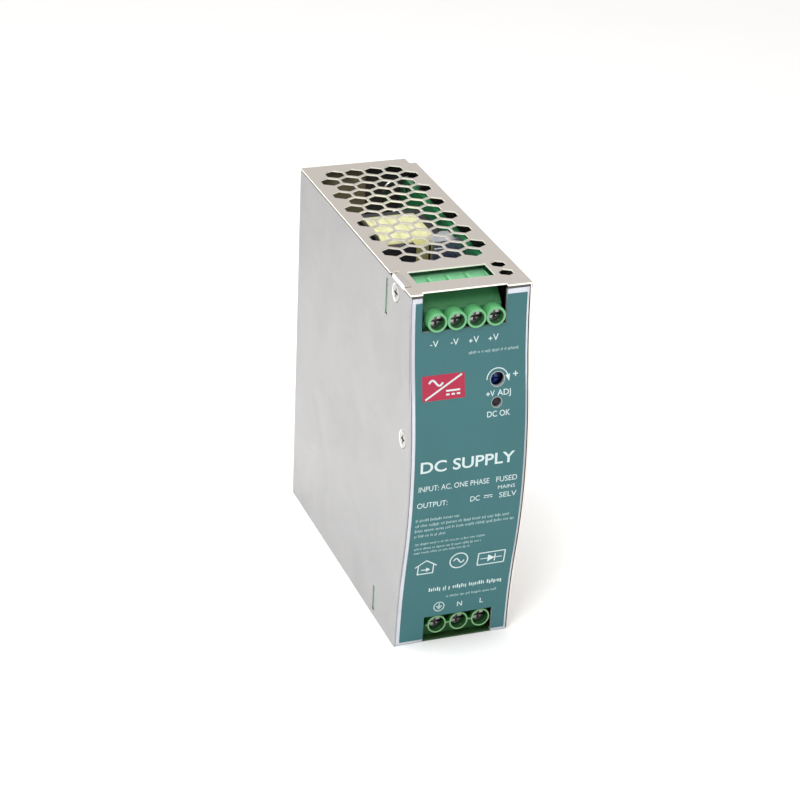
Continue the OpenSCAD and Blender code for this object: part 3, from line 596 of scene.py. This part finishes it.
def stamp(bm, outline, lift=INK):
    """Adds a flat shape with thickness, given by its outline in millimetres."""
    low = [bm.verts.new((x, h, lift[0])) for x, h in outline]
    high = [bm.verts.new((x, h, lift[1])) for x, h in outline]
    bmesh.ops.triangulate(bm, faces=[bm.faces.new(reversed(low)), bm.faces.new(high)])
    for i in range(len(low)):
        j = (i + 1) % len(low)
        bm.faces.new((low[i], low[j], high[j], high[i]))


def bar(bm, start, end, width, lift=INK):
    """Adds a straight stroke between two points."""
    along = (Vector(end) - Vector(start)).normalized() * width / 2
    side = Vector((-along.y, along.x))
    a, b = Vector(start), Vector(end)
    stamp(bm, [a - side, b - side, b + side, a + side], lift)


def arc(centre, radius, angles, steps):
    """Points along an arc from one angle to another, anticlockwise from the right."""
    turn = [math.radians(angles[0] + (angles[1] - angles[0]) * k / steps) for k in range(steps + 1)]
    return [(centre[0] + radius * math.cos(a), centre[1] + radius * math.sin(a)) for a in turn]


def ring(bm, centre, radius, width, angles=(0, 360), steps=40):
    """Adds a curved stroke from one angle to another."""
    inner = arc(centre, radius - width / 2, angles, steps)
    outer = arc(centre, radius + width / 2, angles, steps)
    for k in range(steps):
        stamp(bm, [inner[k], outer[k], outer[k + 1], inner[k + 1]])
    # The end faces that neighbouring parts share are taken out
    bmesh.ops.remove_doubles(bm, verts=bm.verts[:], dist=0.0005)
    inside = [f for f in bm.faces if all(len(e.link_faces) > 2 for e in f.edges)]
    bmesh.ops.delete(bm, geom=inside, context="FACES_ONLY")


def wave(bm, left, length, h, width, parts, lifts):
    """Adds one period of a sine as straight strokes, with neighbours on two levels."""
    swing = 0.95
    points = [(left + length * k / parts, h + swing * math.sin(2 * math.pi * k / parts))
              for k in range(parts + 1)]
    for k in range(parts):
        bar(bm, points[k], points[k + 1], width, lifts[k % 2])


def words(bm, text, x, h, cap, heavy=0.0):
    """Adds a line of text that fills the stretch x, with capitals of height cap centred at h. Heavy, as a
    share of the font's size, thickens the strokes."""
    curve = bpy.data.curves.new("words", "FONT")
    curve.body = text
    curve.resolution_u = 4
    curve.offset = heavy
    holder = bpy.data.objects.new("words", curve)
    collection.objects.link(holder)
    bpy.context.view_layer.update()
    flat = holder.evaluated_get(bpy.context.evaluated_depsgraph_get()).to_mesh()
    points = [v.co.copy() for v in flat.vertices]
    faces = [list(f.vertices) for f in flat.polygons]
    bpy.data.objects.remove(holder)
    bpy.data.curves.remove(curve)
    left, right = min(p.x for p in points), max(p.x for p in points)
    stretch = (x[1] - x[0]) / (right - left)
    front = [bm.verts.new(((p.x - left) * stretch + x[0], h + (p.y / CAP_HEIGHT - 0.5) * cap, INK[1]))
             for p in points]
    made = [bm.faces.new([front[i] for i in f]) for f in faces]
    bmesh.ops.remove_doubles(bm, verts=front, dist=0.001)
    made = [f for f in made if f.is_valid]
    back = bmesh.ops.duplicate(bm, geom=made)
    twin = back["vert_map"]
    for v in dict.fromkeys(v for f in made for v in f.verts):
        twin[v].co.z = INK[0]
    # A dict keeps its order, so that every run makes the same mesh
    rims = [e for e in dict.fromkeys(e for f in made for e in f.edges) if len(e.link_faces) == 1]
    for e in rims:
        a, b = e.verts
        bm.faces.new((a, b, twin[b], twin[a]))
    bmesh.ops.reverse_faces(bm, faces=[f for f in back["geom"] if isinstance(f, bmesh.types.BMFace)])


def small_print(bm, x, h, size):
    """Adds a line too small to read, as word-like runs of short strokes."""
    place = x[0]
    while place < x[1] - 0.4:
        letters = random.randint(2, 8)
        for _ in range(letters):
            width = size * random.uniform(0.16, 0.34)
            if place + width > x[1]:
                break
            tall = size * random.choice((0.72, 0.72, 1.0))
            drop = size * random.choice((0.0, 0.0, 0.0, 0.22))
            stamp(bm, [(place, h - size / 2 - drop), (place + width, h - size / 2 - drop),
                       (place + width, h - size / 2 + tall), (place, h - size / 2 + tall)])
            place += width + size * 0.24
        place += size * 0.45


def printed(name, draw, look=white_ink):
    """Makes a piece of what a function draws flat, laid on the front."""
    bm = bmesh.new()
    draw(bm)
    lay_on_front(bm)
    piece(name, bm, look)


def plus(bm, x, h, size, width):
    bar(bm, (x - size / 2, h), (x + size / 2, h), width)
    bar(bm, (x, h - size / 2), (x, h + size / 2), width, RAISED_INK)


# Heights of the middles of the printed lines above the underside of the case
OUTPUT_NAMES_H, INPUT_NAMES_H = 108.45, 13.2
ADJUST_H, LAMP_NAME_H, TITLE_H = 90.5, 83.8, 68.6
INPUT_LINE_H, MAINS_H, OUTPUT_LINE_H = 61.0, 58.0, 55.1
# Height of most capitals, and the extra weight of the lettering as a share of the font's size
CAPITAL = 1.95
BOLD, TITLE_BOLD = 0.004, 0.014


def draw_pole_names(bm):
    sign_h = OUTPUT_NAMES_H - 0.35
    for x in (-12.8, -6.1):
        bar(bm, (x - 0.35, sign_h), (x + 0.3, sign_h), 0.3)
    for x in (0.15, 6.65):
        plus(bm, x, sign_h, 1.2, 0.3)
    for x in (-12.3, -5.65, 1.05, 7.55):
        words(bm, "V", (x, x + 1.8), OUTPUT_NAMES_H, 2.15, BOLD)
    words(bm, "N", (1.2, 2.9), INPUT_NAMES_H, 1.9, BOLD)
    words(bm, "L", (9.1, 10.3), INPUT_NAMES_H, 1.9, BOLD)
    # Protective earth: a stem on three bars, in a ring
    x = -5.1
    ring(bm, (x, INPUT_NAMES_H), 1.75, 0.26)
    bar(bm, (x, INPUT_NAMES_H + 0.15), (x, INPUT_NAMES_H + 1.3), 0.26)
    for half, drop in ((1.05, 0.0), (0.7, 0.5), (0.35, 1.0)):
        h = INPUT_NAMES_H + 0.1 - drop
        bar(bm, (x - half, h), (x + half, h), 0.24, RAISED_INK)


def draw_controls(bm):
    # An arrow round the trimmer, towards a plus sign
    ring(bm, TRIMMER_AT, 3.55, 0.32, (8, 178))
    stamp(bm, [(11.75, 95.75), (13.3, 96.1), (12.95, 93.8)], RAISED_INK)
    plus(bm, 15.15, 95.9, 1.65, 0.34)
    plus(bm, 5.85, ADJUST_H - 0.15, 1.25, 0.3)
    words(bm, "V", (6.6, 8.1), ADJUST_H, CAPITAL, BOLD)
    words(bm, "ADJ", (9.0, 13.5), ADJUST_H, CAPITAL, BOLD)
    words(bm, "DC OK", (5.6, 13.3), LAMP_NAME_H, CAPITAL, BOLD)


def draw_title(bm):
    words(bm, "DC SUPPLY", (-16.2, 15.4), TITLE_H, 2 * CAPITAL, TITLE_BOLD)


def draw_ratings(bm):
    words(bm, "INPUT: AC, ONE PHASE", (-16.5, 7.2), INPUT_LINE_H, CAPITAL)
    words(bm, "FUSED", (9.6, 16.7), INPUT_LINE_H, CAPITAL)
    words(bm, "MAINS", (10.4, 16.2), MAINS_H, 1.3)
    words(bm, "OUTPUT:", (-16.7, -6.5), OUTPUT_LINE_H, CAPITAL)
    words(bm, "DC", (1.2, 4.4), OUTPUT_LINE_H, CAPITAL)
    # Direct current: a bar over three dashes
    bar(bm, (5.8, OUTPUT_LINE_H + 0.45), (8.7, OUTPUT_LINE_H + 0.45), 0.28)
    for x in (5.8, 6.9, 8.0):
        bar(bm, (x, OUTPUT_LINE_H - 0.25), (x + 0.7, OUTPUT_LINE_H - 0.25), 0.28)
    words(bm, "SELV", (11.0, 16.9), OUTPUT_LINE_H, CAPITAL)


# Left and right end, height and letter size of the lines that are too small to read
SMALL_LINES = (
    (-0.5, 16.7, 104.3, 0.85),
    (-16.7, -1.3, 49.5, 0.95), (-16.7, 15.1, 47.5, 0.95),
    (-16.7, 17.2, 45.6, 0.95), (-16.7, -6.1, 43.5, 0.95),
    (-16.2, 8.2, 40.3, 0.75), (-16.2, 6.6, 38.4, 0.75), (-16.2, 2.9, 36.8, 0.75),
    (-2.9, 15.4, 17.0, 0.85))


def draw_small_print(bm):
    for left, right, h, size in SMALL_LINES:
        small_print(bm, (left, right), h, size)


def draw_foot_line(bm):
    for x in ((-9.3, -2.0), (-1.0, 15.9)):
        small_print(bm, x, 20.6, 1.45)


def draw_marks(bm):
    # Indoor use: a house with an arrow in it
    thick = 0.38
    floor_h, eaves_h, arrow_h = 27.7, 31.2, 29.3
    bar(bm, (-15.1, 30.6), (-11.4, 33.1), thick)
    bar(bm, (-11.4, 33.1), (-7.7, 30.6), thick, RAISED_INK)
    for x in (-14.0, -8.8):
        bar(bm, (x, floor_h), (x, eaves_h), thick)
    bar(bm, (-14.2, floor_h), (-8.6, floor_h), thick, RAISED_INK)
    bar(bm, (-12.9, arrow_h), (-10.7, arrow_h), thick)
    stamp(bm, [(-11.2, arrow_h - 0.9), (-9.8, arrow_h), (-11.2, arrow_h + 0.9)], RAISED_INK)
    # Alternating current: a wave in a ring
    ring_h = 31.2
    ring(bm, (-0.2, ring_h), 3.0, 0.4)
    wave(bm, -2.0, 3.6, ring_h, 0.42, 16, (INK, RAISED_INK))
    # Rectifier: a diode in a frame
    left, right, low, high = 6.5, 15.7, 27.9, 32.8
    corners = [(left, low), (right, low), (right, high), (left, high)]
    for k in range(4):
        bar(bm, corners[k], corners[(k + 1) % 4], thick, (INK, RAISED_INK)[k % 2])
    middle = (low + high) / 2
    bar(bm, (7.4, middle), (14.8, middle), 0.3)
    stamp(bm, [(9.9, middle - 1.45), (12.2, middle), (9.9, middle + 1.45)], RAISED_INK)
    bar(bm, (12.35, middle - 1.45), (12.35, middle + 1.45), 0.36, RAISED_INK)


def draw_patch(bm):
    stamp(bm, [(-15.8, 90.4), (-1.8, 90.4), (-1.8, 98.4), (-15.8, 98.4)], PATCH_INK)


def draw_converter(bm):
    # Alternating current above a diagonal, direct current below it
    thick = 0.55
    bar(bm, (-14.9, 90.9), (-2.7, 97.9), thick, OVER_PATCH)
    wave(bm, -13.6, 4.6, 95.9, 0.6, 20, (OVER_PATCH, RAISED_OVER_PATCH))
    bar(bm, (-8.0, 93.1), (-3.4, 93.1), thick, OVER_PATCH)
    for x in (-8.0, -6.25, -4.5):
        bar(bm, (x, 91.9), (x + 1.1, 91.9), thick, OVER_PATCH)


def draw_hole_rims(bm):
    ring(bm, LAMP_AT, LAMP_HOLE_R + 0.1, 0.14, steps=32)
    ring(bm, TRIMMER_AT, TRIMMER_HOLE_R + 0.1, 0.16)


printed("print_poles", draw_pole_names)
printed("print_controls", draw_controls)
printed("print_title", draw_title)
printed("print_ratings", draw_ratings)
printed("print_small_lines", draw_small_print, pale_ink)
printed("print_foot_line", draw_foot_line)
printed("print_marks", draw_marks)
printed("print_patch", draw_patch, red_ink)
printed("print_converter_symbol", draw_converter)
printed("print_hole_rims", draw_hole_rims, ring_ink)

# ---- Pieces inside the case ------------------------------------------------

# Film inside the left cover
bm = bmesh.new()
block(bm, (-18.95, -18.75), (3.0, 85.4), (3.0, 121.6))
piece("left_inner_film", bm, dark_film)

# Stiff paper inside the rear wall, with its foot bent forward
bm = bmesh.new()
block(bm, (-18.4, 3.0), (1.2, 1.5), (92.0, 124.3), 0.05)
block(bm, (-18.4, 3.0), (1.2, 7.5), (91.7, 92.0), 0.05)
piece("rear_insulating_paper", bm, olive_board)

# Tape strap over the transformer and down its front
bm = bmesh.new()
block(bm, (1.3, 5.5), (51.0, 56.5), (117.72, 117.95), 0.05)
block(bm, (1.3, 5.5), (56.25, 56.45), (112.0, 117.9), 0.05)
piece("core_tape", bm, olive_tape)

# Sill of the input terminal, between the feet of the front plate, its green painted darker, as shade
bm = bmesh.new()
block(bm, (IN_NOTCH_X[0] + 0.1, IN_NOTCH_X[1] - 0.1), (IN_FACE_D + 0.02, 107.0), (0.1, 0.6), 0.08)
piece("input_sill", bm, shaded_sill_green)


def jumper(bm, x, depth, shoulder_h, half_span, rise, radius):
    """Adds a wire that goes up, over in an arch and down again, round a middle x."""
    foot_h = 108.0
    arch = [at(x + half_span * math.cos(a), depth, shoulder_h + rise * math.sin(a))
            for a in (math.pi * k / 16 for k in range(17))]
    feet = [at(x + side * half_span, depth, foot_h) for side in (1, -1)]
    tube(bm, [feet[0]] + arch + [feet[1]], radius * MM)


bm = bmesh.new()
jumper(bm, 9.8, 9.5, 117.0, 3.1, 4.2, 0.55)
jumper(bm, 6.5, 24.8, 114.5, 2.4, 3.0, 0.45)
piece("jumper_wires", bm, tinned, smooth=True)

# Clip on the bright heat sink
bm = bmesh.new()
block(bm, (4.5, 8.8), (63.2, 64.0), (117.8, 119.6), 0.15)
piece("sink_clip", bm, tinned)

# ---- Wound coils -----------------------------------------------------------


def box_millimetres(name):
    """Lowest and highest x, depth and height of a CAD node."""
    low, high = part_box(name)
    return ((low[0] / MM, high[0] / MM), (-high[1] / MM, -low[1] / MM),
            (low[2] / MM + RAIL_H, high[2] / MM + RAIL_H))


def rounded_loop(half_w, half_h, corner, points=6):
    """Points round a rectangle with rounded corners, anticlockwise."""
    out = []
    for quarter, (sx, sy) in enumerate(((1, 1), (-1, 1), (-1, -1), (1, -1))):
        for k in range(points):
            a = math.pi / 2 * (quarter + k / (points - 1))
            out.append((sx * (half_w - corner) + corner * math.cos(a),
                        sy * (half_h - corner) + corner * math.sin(a)))
    return out


# Line choke: two coils side by side, wound from the rear to the front
CHOKE_WIRE = 0.4
CHOKE_COIL_WIDE = 6.6
CHOKE_CORNER = 1.2
WIRE_SPACING = 2.08
span_x, span_d, span_h = box_millimetres("choke_coils")
centre_h = sum(span_h) / 2
length = span_d[1] - span_d[0]
turns = int(length / (WIRE_SPACING * CHOKE_WIRE))
loop = rounded_loop(CHOKE_COIL_WIDE / 2 - CHOKE_WIRE, (span_h[1] - span_h[0]) / 2 - CHOKE_WIRE, CHOKE_CORNER)
steps = turns * len(loop)
bm = bmesh.new()
for centre_x in (span_x[0] + CHOKE_COIL_WIDE / 2, span_x[1] - CHOKE_COIL_WIDE / 2):
    path = []
    for k in range(steps + 1):
        across, up = loop[k % len(loop)]
        depth = span_d[0] + CHOKE_WIRE + (length - 2 * CHOKE_WIRE) * k / steps
        path.append(at(centre_x + across, depth, centre_h + up))
    tube(bm, path, CHOKE_WIRE * MM, 6)
chokes = piece("choke_windings", bm, copper, smooth=True)
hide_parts("choke_coils")

# Output choke: a coil round its ring core, open for a short stretch
RING_WIRE = 0.55
RING_TURNS = 26
RING_INNER_R = 5.45
RING_CORNER = 1.0
RING_SHARE = 0.94
span_x, span_d, span_h = box_millimetres("inductor_winding")
centre_x, centre_d, centre_h = sum(span_x) / 2, sum(span_d) / 2, sum(span_h) / 2
outer = (span_d[1] - span_d[0]) / 2 - RING_WIRE
loop = rounded_loop((outer - RING_INNER_R) / 2, (span_x[1] - span_x[0]) / 2 - RING_WIRE, RING_CORNER, 5)
steps = RING_TURNS * len(loop)
bm = bmesh.new()
path = []
for k in range(steps):
    out, across = loop[k % len(loop)]
    turn = 2 * math.pi * RING_SHARE * k / steps
    reach = (outer + RING_INNER_R) / 2 + out
    path.append(at(centre_x + across, centre_d + reach * math.cos(turn), centre_h + reach * math.sin(turn)))
tube(bm, path, RING_WIRE * MM, 6)
ring_winding = piece("ring_winding", bm, copper, smooth=True)
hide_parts("inductor_winding")

# ---- Latch spring ----------------------------------------------------------

SPRING_TURNS = 7
SPRING_WIRE = 0.25 * MM
# Turns at each end that lie nearly flat, and the share of the height that all turns climb alike
END_TURNS = 0.8
EVEN_CLIMB = 0.04
low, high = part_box("latch_spring")
radius = (high[0] - low[0]) / 2 - SPRING_WIRE
middle = Vector(((low[0] + high[0]) / 2, (low[1] + high[1]) / 2, 0))
steps = 28 * SPRING_TURNS
bm = bmesh.new()
rise = high[2] - low[2] - 2 * SPRING_WIRE
path = []
for k in range(steps + 1):
    share = k / steps
    eased = min(max((share * SPRING_TURNS - END_TURNS) / (SPRING_TURNS - 2 * END_TURNS), 0.0), 1.0)
    z = low[2] + SPRING_WIRE + rise * (EVEN_CLIMB * share + (1 - EVEN_CLIMB) * eased)
    turn = 2 * math.pi * share * SPRING_TURNS
    path.append(middle + Vector((radius * math.cos(turn), radius * math.sin(turn), z)))
tube(bm, path, SPRING_WIRE, 8)
spring = piece("wound_spring", bm, spring_metal, smooth=True)
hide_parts("latch_spring")
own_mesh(spring)

# ---- Floor, light and camera -----------------------------------------------

bpy.ops.mesh.primitive_plane_add(size=6.0, location=at(0, 0, -0.05))
floor = bpy.context.object
floor.name = "floor"
floor_look = Surface("studio_floor", (0.93, 0.93, 0.93), 0.7)
floor_look.tint(floor_look.ramp(floor_look.noise(0.02), 0.3, 0.8, 0.0, 0.3), (0.90, 0.90, 0.90))
floor.data.materials.append(floor_look.mat)


def softbox(name, place, aim, size, power, colour=(1, 1, 1), mirrored=True):
    """Adds a round soft lamp that shines at a point. Metal shows its image only if it is mirrored."""
    lamp = bpy.data.lights.new(name, "AREA")
    lamp.shape = "DISK"
    lamp.size = size
    lamp.energy = power
    lamp.color = colour
    made = bpy.data.objects.new(name, lamp)
    made.location = place
    made.rotation_mode = "QUATERNION"
    made.rotation_quaternion = (Vector(place) - Vector(aim)).to_track_quat("Z", "Y")
    made.visible_camera = False
    made.visible_glossy = mirrored
    collection.objects.link(made)


softbox("overhead", (-0.12, -0.02, 0.42), (-0.06, -0.03, -0.07), 0.3, 1.35, mirrored=False)
softbox("key", (-0.52, -0.66, 0.84), (0, -0.05, 0), 0.4, 5.2)
softbox("fill", (0.35, -0.85, 0.10), (0, -0.1, -0.03), 0.4, 1.6, (0.92, 0.96, 1.0))

# The room: brighter overhead than at the horizon. Heights are sines of the angle above it.
HORIZON, OVERHEAD = -0.1, 0.7
HORIZON_LIGHT, OVERHEAD_LIGHT = 0.36, 0.98
world = bpy.data.worlds.new("studio")
world.use_nodes = True
room = world.node_tree
heading = room.nodes.new("ShaderNodeTexCoord").outputs["Generated"]
height = room.nodes.new("ShaderNodeSeparateXYZ")
room.links.new(heading, height.inputs["Vector"])
fade = room.nodes.new("ShaderNodeMapRange")
fade.interpolation_type = "SMOOTHSTEP"
for i, v in zip((1, 2, 3, 4), (HORIZON, OVERHEAD, HORIZON_LIGHT, OVERHEAD_LIGHT)):
    fade.inputs[i].default_value = v
room.links.new(height.outputs["Z"], fade.inputs["Value"])
room.nodes["Background"].inputs["Color"].default_value = (1.0, 0.985, 0.965, 1)
room.links.new(fade.outputs["Result"], room.nodes["Background"].inputs["Strength"])
bpy.context.scene.world = world
bpy.context.scene.view_settings.view_transform = "Standard"

# The camera stands in front, to the left and above, a little rolled, as the photograph was taken.
# Angles are in degrees.
CAMERA_PLACE = (-0.2590, -0.7170, 0.3549)
CAMERA_TURN = 21.26
CAMERA_DOWN = 26.86
CAMERA_ROLL = 2.72
FOCAL = 107.4

camera = bpy.data.cameras.new("camera")
camera.lens = FOCAL
camera.sensor_width = 36.0
camera.clip_start = 0.05
view = bpy.data.objects.new("camera", camera)
view.location = CAMERA_PLACE
turn, down = math.radians(CAMERA_TURN), math.radians(CAMERA_DOWN)
back = Vector((-math.sin(turn) * math.cos(down), -math.cos(turn) * math.cos(down), math.sin(down)))
view.rotation_mode = "QUATERNION"
view.rotation_quaternion = (back.to_track_quat("Z", "Y").to_matrix()
                            @ Matrix.Rotation(math.radians(CAMERA_ROLL), 3, "Z")).to_quaternion()
collection.objects.link(view)
bpy.context.scene.camera = view
